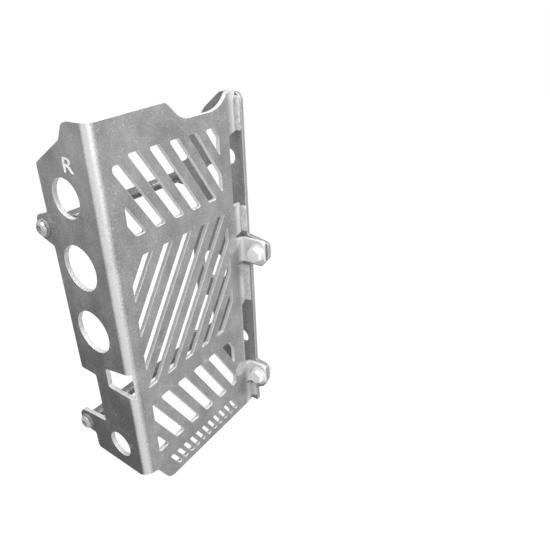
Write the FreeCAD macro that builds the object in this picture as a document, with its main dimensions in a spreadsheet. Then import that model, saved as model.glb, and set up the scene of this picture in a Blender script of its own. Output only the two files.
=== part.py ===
import FreeCAD, Part
import math
import os
import Sketcher

# Right-hand radiator guard of a motorcycle.
# One aluminium sheet is folded into a slotted front plate and an outer flange. A flat side plate
# closes the inboard edge. Two short bolts hold it to tabs that are bent forward from the front
# plate, and two long bolts cross from the flange's ears to the side plate's ears behind the radiator,
# each in a spacer tube.
# Working axes: X runs inboard from the flange's outer face, Y runs back from the front face and
# Z runs up from the bottom edge. Each piece is then placed so that the upper mounting hole's
# centre, on the side plate's inboard face, is the origin.

drivingSizes = {
    # Folded sheet. The heights further down are those of a guard of the standard height.
    "sheet_thickness": 3.0,
    "guard_height": 261.0,
    "standard_height": 261.0,
    "guard_width": 121.0,
    "fold_radius": 6.5,
    "lip_flat_end": 110.0,
    "lip_radius": 38.0,
    "seam_gap": 0.3,
    # Corner roundings of the plates
    "tight_rounding": 1.5,
    "small_rounding": 3.0,
    "medium_rounding": 5.0,
    "large_rounding": 8.0,
    # Flange outline: distances back from the front face, and heights
    "flange_depth": 53.3,
    "flange_top_drop": 3.2,
    "flange_shoulder_depth": 21.5,
    "flange_waist_depth": 26.5,
    "flange_waist_drop": 12.5,
    "flange_rear_drop": 28.5,
    "flange_step_height": 88.5,
    "flange_step_depth": 38.2,
    "flange_foot_depth": 54.0,
    "flange_bottom_height": 15.4,
    # Lightening holes in the flange
    "flange_hole_depth": 30.5,
    "top_hole_height": 214.7,
    "top_hole_radius": 12.15,
    "wide_hole_radius": 14.8,
    "upper_wide_hole_height": 170.8,
    "lower_wide_hole_height": 125.7,
    "foot_hole_depth": 25.4,
    "foot_hole_height": 34.2,
    "foot_hole_radius": 9.6,
    # Notch across the fold
    "notch_depth": 25.5,
    "notch_bottom_height": 84.5,
    "notch_rear_height": 99.0,
    "notch_front_height": 104.0,
    "notch_turn": 47.0,
    # Front plate outline
    "fold_top_drop": 2.0,
    "step_start": 54.5,
    "step_end": 66.0,
    "step_drop": 12.0,
    "step_rounding": 14.0,
    "scoop_start": 90.5,
    "scoop_end": 108.6,
    "scoop_radius": 22.0,
    "corner_drop": 2.4,
    "wave_rise": 2.6,
    "wave_start": 4.0,
    "wave_crest": 8.2,
    "wave_run_out": 2.0,
    "wave_end": 18.3,
    # Open windows in the inboard edge
    "upper_window_start": 108.4,
    "upper_window_top": 230.5,
    "upper_window_bottom": 180.0,
    "lower_window_start": 111.0,
    "lower_window_top": 97.5,
    "window_flare": 3.0,
    "tab_relief": 2.6,
    # Tabs bent forward and the short bolts through them
    "tab_bend_radius": 3.0,
    "tab_root_overlap": 8.0,
    "upper_tab_bolt_forward": 14.0,
    "upper_tab_bolt_height": 144.0,
    "upper_tab_reach": 5.8,
    "lower_tab_bolt_forward": 9.9,
    "lower_tab_bolt_height": 31.5,
    "lower_tab_reach": 6.0,
    "tab_half_height": 9.6,
    "tab_corner_cut": 3.5,
    # Rows of slanted slots
    "slot_rounding": 1.5,
    "shortest_slot_entry": 4.0,
    "upper_slot_angle": 58.0,
    "middle_slot_angle": 55.8,
    "lower_slot_angle": 59.8,
    "upper_slot_top": 238.6,
    "upper_slot_bottom": 191.0,
    "upper_slot_left": 15.3,
    "upper_slot_right_margin": 23.1,
    "upper_slot_start": 6.4,
    "upper_slot_pitch": 15.84,
    "upper_slot_width": 7.8,
    "first_slot_drop": 4.2,
    "first_slot_inset": 4.9,
    "first_slot_shoulder": 16.5,
    "middle_slot_top": 177.8,
    "middle_slot_bottom": 87.0,
    "middle_slot_left": 12.3,
    "middle_slot_right_margin": 20.7,
    "middle_slot_start": 39.9,
    "middle_slot_pitch": 16.9,
    "middle_slot_width": 7.7,
    "middle_slot_rounding": 0.7,
    "lower_slot_top": 73.5,
    "lower_slot_bottom": 30.7,
    "lower_slot_left": 12.6,
    "lower_slot_right_margin": 23.6,
    "lower_slot_start": 4.25,
    "lower_slot_pitch": 16.0,
    "lower_slot_width": 8.2,
    "foot_slot_top": 18.2,
    "foot_slot_bottom": 6.0,
    "foot_slot_left": 21.0,
    "foot_slot_right_margin": 17.5,
    "foot_slot_pitch": 6.6,
    "foot_slot_width": 3.2,
    "foot_slot_rounding": 0.9,
    # Side plate outline
    "side_top_overhang": 3.5,
    "side_bottom_overhang": 5.4,
    "side_top_drop": 3.6,
    "side_bevel_start": 14.0,
    "side_bevel_middle": 29.0,
    "side_bevel_middle_drop": 15.2,
    "side_rear_depth": 50.5,
    "side_rear_drop": 40.5,
    "side_waist_depth": 42.0,
    "side_waist_bottom_height": 161.5,
    "side_back_depth": 53.5,
    "side_back_top_height": 154.0,
    "side_step_height": 89.0,
    "side_step_depth": 38.0,
    "side_step_bottom_height": 66.0,
    "side_foot_depth": 31.0,
    "side_toe_depth": 10.7,
    # Side plate ears in front of the front plate
    "upper_front_ear_forward": 22.0,
    "upper_front_ear_rise": 11.5,
    "upper_front_ear_fall": 12.2,
    "lower_front_ear_forward": 17.0,
    "lower_front_ear_rise": 10.8,
    "lower_front_ear_fall": 17.6,
    "lower_front_ear_heel": 12.8,
    # Lightening holes in the side plate
    "side_top_hole_depth": 23.0,
    "side_top_hole_height": 225.5,
    "side_top_hole_radius": 9.5,
    "side_upper_hole_depth": 24.4,
    "side_upper_hole_height": 193.4,
    "side_upper_hole_radius": 11.4,
    "side_lower_hole_depth": 32.0,
    "side_lower_hole_height": 120.5,
    "side_lower_hole_radius": 12.5,
    # Mounting holes in the side plate
    "mounting_hole_radius": 6.0,
    "upper_mounting_depth": 10.0,
    "upper_mounting_height": 212.8,
    "lower_mounting_depth": 7.5,
    "lower_mounting_height": 61.7,
    # Long bolts across the back, and the ears that carry them
    "upper_cross_depth": 59.6,
    "upper_cross_height": 191.0,
    "lower_cross_depth": 60.5,
    "lower_cross_height": 37.0,
    "upper_ear_edge": 6.9,
    "lower_ear_edge": 8.2,
    "upper_ear_root": 11.2,
    "lower_ear_root": 11.6,
    # Both kinds of fastener
    "bolt_clearance": 0.25,
    "thread_clearance": 0.05,
    "bolt_end_chamfer": 0.8,
    "thread_run_out": 1.2,
    "hex_bevel": 0.5,
    "washer_thickness": 1.3,
    # Short bolts, with a flanged hexagonal head
    "tab_bolt_radius": 3.0,
    "tab_hex_across_flats": 10.0,
    "tab_head_height": 5.6,
    "tab_flange_radius": 6.8,
    "tab_flange_height": 1.4,
    "tab_nut_height": 5.0,
    "tab_washer_radius": 6.2,
    # Long bolts, with a button head, and the spacer tubes round them
    "cross_bolt_radius": 3.0,
    "cross_nut_across_flats": 10.0,
    "cross_nut_height": 5.0,
    "cross_washer_radius": 6.0,
    "cross_spacer_radius": 4.2,
    "button_radius": 5.25,
    "button_height": 2.5,
    "button_rim": 0.6,
    "button_crown_radius": 3.1,
    "socket_across_flats": 4.0,
    "socket_depth": 1.6,
    # How far a cutting shape stands out of what it cuts
    "cut_margin": 2.0,
}

doc = FreeCAD.newDocument("radiator_guard")
sheet = doc.addObject("Spreadsheet::Sheet", "sizes")
for row, (alias, number) in enumerate(drivingSizes.items(), start=1):
    sheet.set(f"A{row}", alias)
    sheet.set(f"B{row}", str(number))
    sheet.setAlias(f"B{row}", alias)
doc.recompute()


# A number together with the sheet formula that it comes from
class Size:
    def __init__(self, value, formula):
        self.value = value
        self.formula = formula

    def __add__(self, other):
        other = asSize(other)
        return Size(self.value + other.value, f"({self.formula} + {other.formula})")

    def __sub__(self, other):
        other = asSize(other)
        return Size(self.value - other.value, f"({self.formula} - {other.formula})")

    def __mul__(self, other):
        other = asSize(other)
        return Size(self.value * other.value, f"({self.formula} * {other.formula})")

    def __truediv__(self, other):
        other = asSize(other)
        return Size(self.value / other.value, f"({self.formula} / {other.formula})")

    def __neg__(self):
        return Size(-self.value, f"(0 - {self.formula})")

    def __radd__(self, other):
        return asSize(other) + self

    def __rsub__(self, other):
        return asSize(other) - self

    def __rmul__(self, other):
        return asSize(other) * self


def asSize(number):
    if isinstance(number, Size):
        return number
    return Size(float(number), str(float(number)))


def size(alias):
    return Size(float(sheet.get(alias)), f"sizes.{alias}")


# A height above the bottom edge, which grows with the guard
def heightOf(alias):
    return size(alias) * size("guard_height") / size("standard_height")


# Sideways run of a line that climbs by rise at an angle to the horizontal
def runOf(rise, angle):
    return Size(rise.value / math.tan(math.radians(angle.value)), f"({rise.formula} / tan({angle.formula}))")


def rootOf(square):
    return Size(math.sqrt(square.value), f"sqrt({square.formula})")


def bind(item, sizes):
    for name, value in sizes.items():
        item.setExpression(name, asSize(value).formula)


# Turns that carry a sketch's own two axes onto the named plane, then the axis that the plane is
# square to and its direction
planeTurns = {
    "XY": FreeCAD.Rotation(),
    "XZ": FreeCAD.Rotation(FreeCAD.Vector(1, 0, 0), 90),
    "YZ": FreeCAD.Rotation(FreeCAD.Vector(1, 1, 1), 120),
}
planeNormals = {
    "XY": ("z", FreeCAD.Vector(0, 0, 1)),
    "XZ": ("y", FreeCAD.Vector(0, 1, 0)),
    "YZ": ("x", FreeCAD.Vector(1, 0, 0)),
}
# Two points nearer to each other than this, in mm, are one
sameSpot = 1e-4
alongX = FreeCAD.Rotation(FreeCAD.Vector(0, 1, 0), 90)
againstX = FreeCAD.Rotation(FreeCAD.Vector(0, 1, 0), -90)

sheetThickness = size("sheet_thickness")
guardHeight = size("guard_height")
guardWidth = size("guard_width")
foldRadius = size("fold_radius")
cutMargin = size("cut_margin")
tightRounding = size("tight_rounding")
smallRounding = size("small_rounding")
mediumRounding = size("medium_rounding")
largeRounding = size("large_rounding")
tabBoltRadius = size("tab_bolt_radius")
crossBoltRadius = size("cross_bolt_radius")
sidePlateFace = guardWidth - sheetThickness
seamEdge = sidePlateFace - size("seam_gap")
tabHoleRadius = tabBoltRadius + size("bolt_clearance")
crossHoleRadius = crossBoltRadius + size("bolt_clearance")
washerThickness = size("washer_thickness")
origin = (guardWidth, size("upper_mounting_depth"), heightOf("upper_mounting_height"))


# Curved edge between two points: a positive radius has its centre on the left of the way along it
def arcBetween(start, end, radius):
    chord = end - start
    toLeft = FreeCAD.Vector(-chord.y, chord.x, 0).normalize()
    offset = math.sqrt(radius * radius - chord.Length ** 2 / 4)
    centre = (start + end) * 0.5 + toLeft * math.copysign(offset, radius)
    circle = Part.Circle(centre, FreeCAD.Vector(0, 0, 1), abs(radius))
    first, last = (start, end) if radius > 0 else (end, start)
    return Part.ArcOfCircle(circle, circle.parameter(first), circle.parameter(last))


# A closed outline. Each corner is (across, up), and may go on with the corner's rounding, which is
# made on the solid, and the radius of a curved edge that leads to the next corner.
def drawOutline(sketch, corners):
    places = [FreeCAD.Vector(asSize(corner[0]).value, asSize(corner[1]).value, 0) for corner in corners]
    first = len(sketch.Geometry)
    constraints = []
    formulas = []
    endNumbers = []
    for number, corner in enumerate(corners):
        start = places[number]
        end = places[(number + 1) % len(corners)]
        curve = corner[3] if len(corner) > 3 else None
        if curve is None:
            sketch.addGeometry(Part.LineSegment(start, end), False)
            endNumbers.append((1, 2))
        else:
            sketch.addGeometry(arcBetween(start, end, curve.value), False)
            endNumbers.append((1, 2) if curve.value > 0 else (2, 1))
            constraints.append(Sketcher.Constraint("Radius", first + number, abs(curve.value)))
            formulas.append(curve.formula if curve.value > 0 else (-curve).formula)
    for number, corner in enumerate(corners):
        after = (number + 1) % len(corners)
        constraints.append(Sketcher.Constraint(
            "Coincident", first + number, endNumbers[number][1], first + after, endNumbers[after][0]))
        formulas.append(None)
        for kind, reach, distance in (("DistanceX", corner[0], places[number].x),
                                      ("DistanceY", corner[1], places[number].y)):
            constraints.append(Sketcher.Constraint(
                kind, -1, 1, first + number, endNumbers[number][0], distance))
            formulas.append(asSize(reach).formula)
    before = len(sketch.Constraints)
    sketch.addConstraint(constraints)
    for number, formula in enumerate(formulas):
        if formula:
            sketch.setExpression(f"Constraints[{before + number}]", formula)


def extrude(name, plane, start, length, outlines):
    sketch = doc.addObject("Sketcher::SketchObject", name + "_sketch")
    for corners in outlines:
        drawOutline(sketch, corners)
    sketch.Placement = FreeCAD.Placement(FreeCAD.Vector(), planeTurns[plane])
    axis, direction = planeNormals[plane]
    bind(sketch, {f"Placement.Base.{axis}": start})
    solid = doc.addObject("Part::Extrusion", name)
    solid.Base = sketch
    solid.DirMode = "Custom"
    solid.Dir = direction
    solid.Solid = True
    bind(solid, {"LengthFwd": length})
    doc.recompute()
    return solid


# Number of the straight edge that runs square to the plane through a spot in it
def edgeNumber(shape, plane, spot):
    for number, edge in enumerate(shape.Edges, start=1):
        points = [vertex.Point for vertex in edge.Vertexes]
        if len(points) == 2 and all((inPlane(point, plane) - spot).Length < sameSpot for point in points):
            return number
    raise ValueError(f"no edge at {spot}")


def inPlane(point, plane):
    flat = planeTurns[plane].inverted().multVec(point)
    return FreeCAD.Vector(flat.x, flat.y, 0)


def roundEdges(name, solid, edges):
    rounded = doc.addObject("Part::Fillet", name)
    rounded.Base = solid
    rounded.Edges = edges
    doc.recompute()
    return rounded


# A plate or cutter with rounded corners
def roundedPrism(name, plane, start, length, corners):
    solid = extrude(name, plane, start, length, [corners])
    edges = []
    for corner in corners:
        if len(corner) > 2 and corner[2] is not None:
            spot = FreeCAD.Vector(corner[0].value, asSize(corner[1]).value, 0)
            edges.append((edgeNumber(solid.Shape, plane, spot), corner[2].value, corner[2].value))
    return roundEdges(name + "_rounded", solid, edges) if edges else solid


def box(name, low, high):
    solid = doc.addObject("Part::Box", name)
    for axis, side, start, end in zip("xyz", ("Length", "Width", "Height"), low, high):
        bind(solid, {f"Placement.Base.{axis}": start, side: asSize(end) - asSize(start)})
    return solid


def drill(name, radius, start, length, depth, height):
    solid = doc.addObject("Part::Cylinder", name)
    solid.Placement = FreeCAD.Placement(FreeCAD.Vector(), alongX)
    bind(solid, {"Radius": radius, "Height": length, "Placement.Base.x": start,
                 "Placement.Base.y": depth, "Placement.Base.z": height})
    return solid


def together(name, kind, shapes):
    joined = doc.addObject(kind, name)
    joined.Shapes = shapes
    if hasattr(joined, "Refine"):
        joined.Refine = True
    return joined


def cutFrom(name, base, cutters):
    tool = doc.addObject("Part::Compound", name + "_cutters")
    tool.Links = cutters
    cut = doc.addObject("Part::Cut", name)
    cut.Base = base
    cut.Tool = tool
    cut.Refine = True
    return cut


# Moves a finished piece so that the upper mounting hole becomes the origin
def place(piece, across=0, depth=0, height=0):
    for axis, own, zero in zip("xyz", (across, depth, height), origin):
        bind(piece, {f"Placement.Base.{axis}": asSize(own) - zero})
    return piece


# Cross-section of the folded sheet: flange, fold, flat and the lip that curves back at the seam
def foldedSection():
    lipEnd = size("lip_flat_end")
    lipRadius = size("lip_radius")
    rear = size("lower_cross_depth") + size("lower_ear_edge") + cutMargin
    reach = guardWidth - lipEnd
    inner = lipRadius - sheetThickness
    lipFront = lipRadius - rootOf(lipRadius * lipRadius - reach * reach)
    lipBack = lipRadius - rootOf(inner * inner - reach * reach)
    corners = [
        (asSize(0), rear),
        (asSize(0), foldRadius, None, foldRadius),
        (foldRadius, asSize(0)),
        (lipEnd, asSize(0), None, lipRadius),
        (guardWidth, lipFront),
        (guardWidth, lipBack, None, -inner),
        (lipEnd, sheetThickness),
        (foldRadius, sheetThickness, None, -(foldRadius - sheetThickness)),
        (sheetThickness, foldRadius),
        (sheetThickness, rear),
    ]
    return extrude("folded_section", "XY", asSize(0), guardHeight, [corners])


def frontOutline():
    top = guardHeight
    flangeBottom = heightOf("flange_bottom_height")
    stepBottom = top - size("step_drop")
    cornerTop = top - size("corner_drop")
    crest = flangeBottom + size("wave_rise")
    corners = [
        (asSize(0), top - size("fold_top_drop")),
        (asSize(0), flangeBottom),
        (size("wave_start"), flangeBottom),
        (size("wave_start"), crest),
        (size("wave_crest"), crest, mediumRounding),
        (size("wave_end"), asSize(0), largeRounding),
        (seamEdge, asSize(0), tightRounding),
        (seamEdge, cornerTop, tightRounding),
        (size("scoop_end"), cornerTop, tightRounding, -size("scoop_radius")),
        (size("scoop_start"), stepBottom),
        (size("step_end"), stepBottom, size("step_rounding")),
        (size("step_start"), top, mediumRounding),
    ]
    return roundedPrism("front_outline", "XZ", -cutMargin, guardWidth, corners)


# The flange seen from the side. In front of the fold the outline stays clear of the front plate.
def sideOutline():
    top = guardHeight
    rear = size("flange_depth")
    upperDepth = size("upper_cross_depth")
    upperHeight = heightOf("upper_cross_height")
    lowerDepth = size("lower_cross_depth")
    lowerHeight = heightOf("lower_cross_height")
    upperEdge = upperDepth + size("upper_ear_edge")
    lowerEdge = lowerDepth + size("lower_ear_edge")
    stepDepth = size("flange_step_depth")
    stepHeight = heightOf("flange_step_height")
    footDepth = size("flange_foot_depth")
    footHeight = heightOf("flange_bottom_height")
    corners = [
        (-cutMargin, top + cutMargin),
        (foldRadius, top + cutMargin),
        (foldRadius, top),
        (size("flange_shoulder_depth"), top - size("flange_top_drop"), mediumRounding),
        (size("flange_waist_depth"), top - size("flange_waist_drop"), smallRounding),
        (rear, top - size("flange_rear_drop"), smallRounding),
        (rear, upperHeight + size("upper_ear_root"), tightRounding),
        (upperEdge, upperHeight + size("upper_ear_edge"), mediumRounding),
        (upperEdge, upperHeight - size("upper_ear_edge"), mediumRounding),
        (rear, upperHeight - size("upper_ear_root"), tightRounding),
        (rear, stepHeight, tightRounding),
        (stepDepth, stepHeight, tightRounding),
        (stepDepth, lowerHeight + size("lower_ear_root"), tightRounding),
        (lowerEdge, lowerHeight + size("lower_ear_edge"), largeRounding),
        (lowerEdge, lowerHeight - size("lower_ear_edge"), mediumRounding),
        (footDepth, lowerHeight - size("lower_ear_edge"), tightRounding),
        (footDepth, footHeight, smallRounding),
        (foldRadius, footHeight),
        (foldRadius, -cutMargin),
        (-cutMargin, -cutMargin),
    ]
    return roundedPrism("side_outline", "YZ", -cutMargin, guardWidth + cutMargin * 2, corners)


# Under the fold the bottom edge rises from the flange to the crest of the front plate's wave
def foldFoot():
    crest = heightOf("flange_bottom_height") + size("wave_rise")
    rear = foldRadius + size("wave_run_out")
    return roundedPrism("fold_foot", "YZ", -cutMargin, size("wave_start") + cutMargin, [
        (-cutMargin, crest),
        (sheetThickness, crest),
        (rear, heightOf("flange_bottom_height")),
        (rear, -cutMargin),
        (-cutMargin, -cutMargin),
    ])


# Open windows along the inboard edge. The lower two leave room for the bent tabs. The cut goes back
# by the lip's radius, because the lip is never deeper than that.
def edgeWindows():
    flare = size("window_flare")
    relief = size("tab_relief")
    upperTab = heightOf("upper_tab_bolt_height")
    lowerTab = heightOf("lower_tab_bolt_height")
    tabHalf = size("tab_half_height")
    outside = guardWidth + cutMargin
    openings = {
        "upper_window": (size("upper_window_start"), heightOf("upper_window_top"),
                         heightOf("upper_window_bottom"), flare),
        "upper_tab_gap": (size("upper_window_start"), upperTab + tabHalf + relief,
                          upperTab - tabHalf - relief, flare),
        "lower_window": (size("lower_window_start"), heightOf("lower_window_top"),
                         lowerTab - tabHalf - relief, flare),
    }
    windows = []
    for name, (start, top, bottom, spread) in openings.items():
        corners = [
            (start, top, tightRounding),
            (outside, top + spread),
            (outside, bottom),
            (start, bottom, tightRounding),
        ]
        windows.append(roundedPrism(name, "XZ", -cutMargin, size("lip_radius"), corners))
    return windows


# One tab: flat root, bend forward and the face that the side plate is bolted to
def bentTab(name, boltForward, boltHeight, reach):
    bend = size("tab_bend_radius")
    tangent = sidePlateFace - sheetThickness - bend
    root = tangent - size("tab_root_overlap")
    tabFace = sidePlateFace - sheetThickness
    frontEnd = -(boltForward + reach)
    low = boltHeight - size("tab_half_height")
    high = boltHeight + size("tab_half_height")
    section = extrude(name + "_section", "XY", low, high - low, [[
        (root, asSize(0)),
        (tangent, asSize(0), None, -bend),
        (tabFace, -bend),
        (tabFace, frontEnd),
        (sidePlateFace, frontEnd),
        (sidePlateFace, -bend, None, bend + sheetThickness),
        (tangent, sheetThickness),
        (root, sheetThickness),
    ]])
    cut = size("tab_corner_cut")
    face = roundedPrism(name + "_face", "YZ", root - cutMargin, guardWidth - root, [
        (frontEnd, high, smallRounding),
        (frontEnd, low + cut, smallRounding),
        (frontEnd + cut, low, smallRounding),
        (sheetThickness, low),
        (sheetThickness, high),
    ])
    return together(name, "Part::MultiCommon", [section, face])


# Slanted bars at an even pitch. lean is 1 where the slots run inboard as they go down, -1 the other way.
# A partial row keeps every slot that enters its window by the shortest entry. Another keeps whole slots only.
def slotBars(name, row, lean, angle, partial):
    start, pitch, width, left, right, top, bottom = row
    high = top + cutMargin
    low = bottom - cutMargin
    run = lean * runOf(top - bottom, angle).value
    near = start.value + min(0, run)
    far = start.value + max(0, run) + width.value
    entry = size("shortest_slot_entry").value
    if partial:
        first = math.ceil((left.value + entry - far) / pitch.value)
        last = math.floor((right.value - entry - near) / pitch.value)
    else:
        first = math.ceil((left.value - near) / pitch.value)
        last = math.floor((right.value - far) / pitch.value)
    bars = []
    for number in range(first, last + 1):
        edge = start + pitch * number
        edgeHigh = edge - lean * runOf(cutMargin, angle)
        edgeLow = edge + lean * runOf(top - low, angle)
        bars.append([
            (edgeHigh, high),
            (edgeHigh + width, high),
            (edgeLow + width, low),
            (edgeLow, low),
        ])
    return extrude(name + "_bars", "XZ", -cutMargin, sheetThickness + cutMargin * 2, bars)


# Roundings for every corner of the slots. A sharp corner and one between short sides take a smaller one.
def slotEdges(shape, wanted):
    shareOfSide = 0.45
    smallest = 0.2
    squareHalfAngle = math.radians(45)
    edges = []
    for solid in shape.Solids:
        face = min(solid.Faces, key=lambda side: side.CenterOfMass.y)
        corners = [vertex.Point for vertex in face.OuterWire.OrderedVertexes]
        for number, corner in enumerate(corners):
            before = corners[number - 1] - corner
            after = corners[(number + 1) % len(corners)] - corner
            halfAngle = before.getAngle(after) / 2
            sharpness = min(1, math.sin(halfAngle) / math.sin(squareHalfAngle))
            side = shareOfSide * min(before.Length, after.Length)
            radius = min(wanted * sharpness, side * math.tan(halfAngle))
            if radius > smallest:
                edges.append((edgeNumber(shape, "XZ", inPlane(corner, "XZ")), radius, radius))
    return edges


def slotRow(name, bars, window, rounding):
    slots = doc.addObject("Part::Common", name + "_sharp")
    slots.Base = bars
    slots.Tool = window
    doc.recompute()
    return roundEdges(name, slots, slotEdges(slots.Shape, rounding.value))


def slotWindow(name, corners):
    return extrude(name + "_window", "XZ", -cutMargin, sheetThickness + cutMargin * 2, [corners])


def rectangle(left, right, bottom, top):
    return [(left, top), (right, top), (right, bottom), (left, bottom)]


# The first slot starts lower than the others and is cut back along the left, down to the shoulder
def upperSlots():
    left = size("upper_slot_left")
    right = guardWidth - size("upper_slot_right_margin")
    top = heightOf("upper_slot_top")
    bottom = heightOf("upper_slot_bottom")
    start = size("upper_slot_start")
    pitch = size("upper_slot_pitch")
    width = size("upper_slot_width")
    angle = size("upper_slot_angle")
    bars = slotBars("upper_slots", (start, pitch, width, left, right, top, bottom), 1, angle, True)
    firstTop = top - size("first_slot_drop")
    betweenFirstTwo = start + width + (pitch - width) / 2
    shoulder = top - size("first_slot_shoulder")
    firstLeft = start + size("first_slot_inset")
    window = slotWindow("upper_slots", [
        (firstLeft, firstTop),
        (betweenFirstTwo, firstTop),
        (betweenFirstTwo, top),
        (right, top),
        (right, bottom),
        (left, bottom),
        (left, shoulder),
        (firstLeft, shoulder),
    ])
    return slotRow("upper_slots", bars, window, size("slot_rounding"))


def plainSlots(name, lean, angle, rounding, partial):
    left = size(name + "_left")
    right = guardWidth - size(name + "_right_margin")
    top = heightOf(name + "_top")
    bottom = heightOf(name + "_bottom")
    start = size(name + "_start") if partial else left
    row = (start, size(name + "_pitch"), size(name + "_width"), left, right, top, bottom)
    bars = slotBars(name, row, lean, angle, partial)
    margin = 0 if partial else cutMargin
    window = slotWindow(name, rectangle(left - margin, right + margin, bottom, top))
    return slotRow(name, bars, window, rounding)


# Notch through the flange and part of the way round the fold
def foldNotch():
    rear = size("notch_depth")
    low = -cutMargin
    straight = box("notch_straight", (low, foldRadius, asSize(0)),
                   (sheetThickness + cutMargin, rear + cutMargin, guardHeight))
    turn = doc.addObject("Part::Cylinder", "notch_turn_sector")
    turn.Placement = FreeCAD.Placement(FreeCAD.Vector(), FreeCAD.Rotation(FreeCAD.Vector(0, 0, 1), 180))
    bind(turn, {"Radius": foldRadius + cutMargin, "Angle": size("notch_turn"), "Height": guardHeight,
                "Placement.Base.x": foldRadius, "Placement.Base.y": foldRadius})
    whole = together("notch_path", "Part::MultiFuse", [straight, turn])
    face = roundedPrism("notch_face", "YZ", low, foldRadius + cutMargin * 2, [
        (low, heightOf("notch_front_height")),
        (low, heightOf("notch_bottom_height")),
        (rear, heightOf("notch_bottom_height"), tightRounding),
        (rear, heightOf("notch_rear_height"), tightRounding),
    ])
    return together("fold_notch", "Part::MultiCommon", [whole, face])


def guardShell():
    blank = together("shell_blank", "Part::MultiCommon", [foldedSection(), frontOutline(), sideOutline()])
    opened = cutFrom("shell_opened", blank, edgeWindows() + [foldFoot()])
    tabs = [
        bentTab("upper_tab", size("upper_tab_bolt_forward"), heightOf("upper_tab_bolt_height"),
                size("upper_tab_reach")),
        bentTab("lower_tab", size("lower_tab_bolt_forward"), heightOf("lower_tab_bolt_height"),
                size("lower_tab_reach")),
    ]
    folded = together("shell_folded", "Part::MultiFuse", [opened] + tabs)
    holeDepth = size("flange_hole_depth")
    wideRadius = size("wide_hole_radius")
    through = sheetThickness + cutMargin * 2
    low = -cutMargin
    tabFace = sidePlateFace - sheetThickness
    cutters = [
        drill("top_hole", size("top_hole_radius"), low, through, holeDepth, heightOf("top_hole_height")),
        drill("upper_wide_hole", wideRadius, low, through, holeDepth, heightOf("upper_wide_hole_height")),
        drill("lower_wide_hole", wideRadius, low, through, holeDepth, heightOf("lower_wide_hole_height")),
        drill("foot_hole", size("foot_hole_radius"), low, through, size("foot_hole_depth"),
              heightOf("foot_hole_height")),
        drill("upper_ear_hole", crossHoleRadius, low, through, size("upper_cross_depth"),
              heightOf("upper_cross_height")),
        drill("lower_ear_hole", crossHoleRadius, low, through, size("lower_cross_depth"),
              heightOf("lower_cross_height")),
        drill("upper_tab_hole", tabHoleRadius, tabFace - cutMargin, through,
              -size("upper_tab_bolt_forward"), heightOf("upper_tab_bolt_height")),
        drill("lower_tab_hole", tabHoleRadius, tabFace - cutMargin, through,
              -size("lower_tab_bolt_forward"), heightOf("lower_tab_bolt_height")),
        foldNotch(),
        upperSlots(),
        plainSlots("middle_slot", -1, size("middle_slot_angle"), size("middle_slot_rounding"), True),
        plainSlots("lower_slot", 1, size("lower_slot_angle"), size("slot_rounding"), True),
        plainSlots("foot_slot", 1, size("lower_slot_angle"), size("foot_slot_rounding"), False),
    ]
    return place(cutFrom("guard_shell", folded, cutters))


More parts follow.
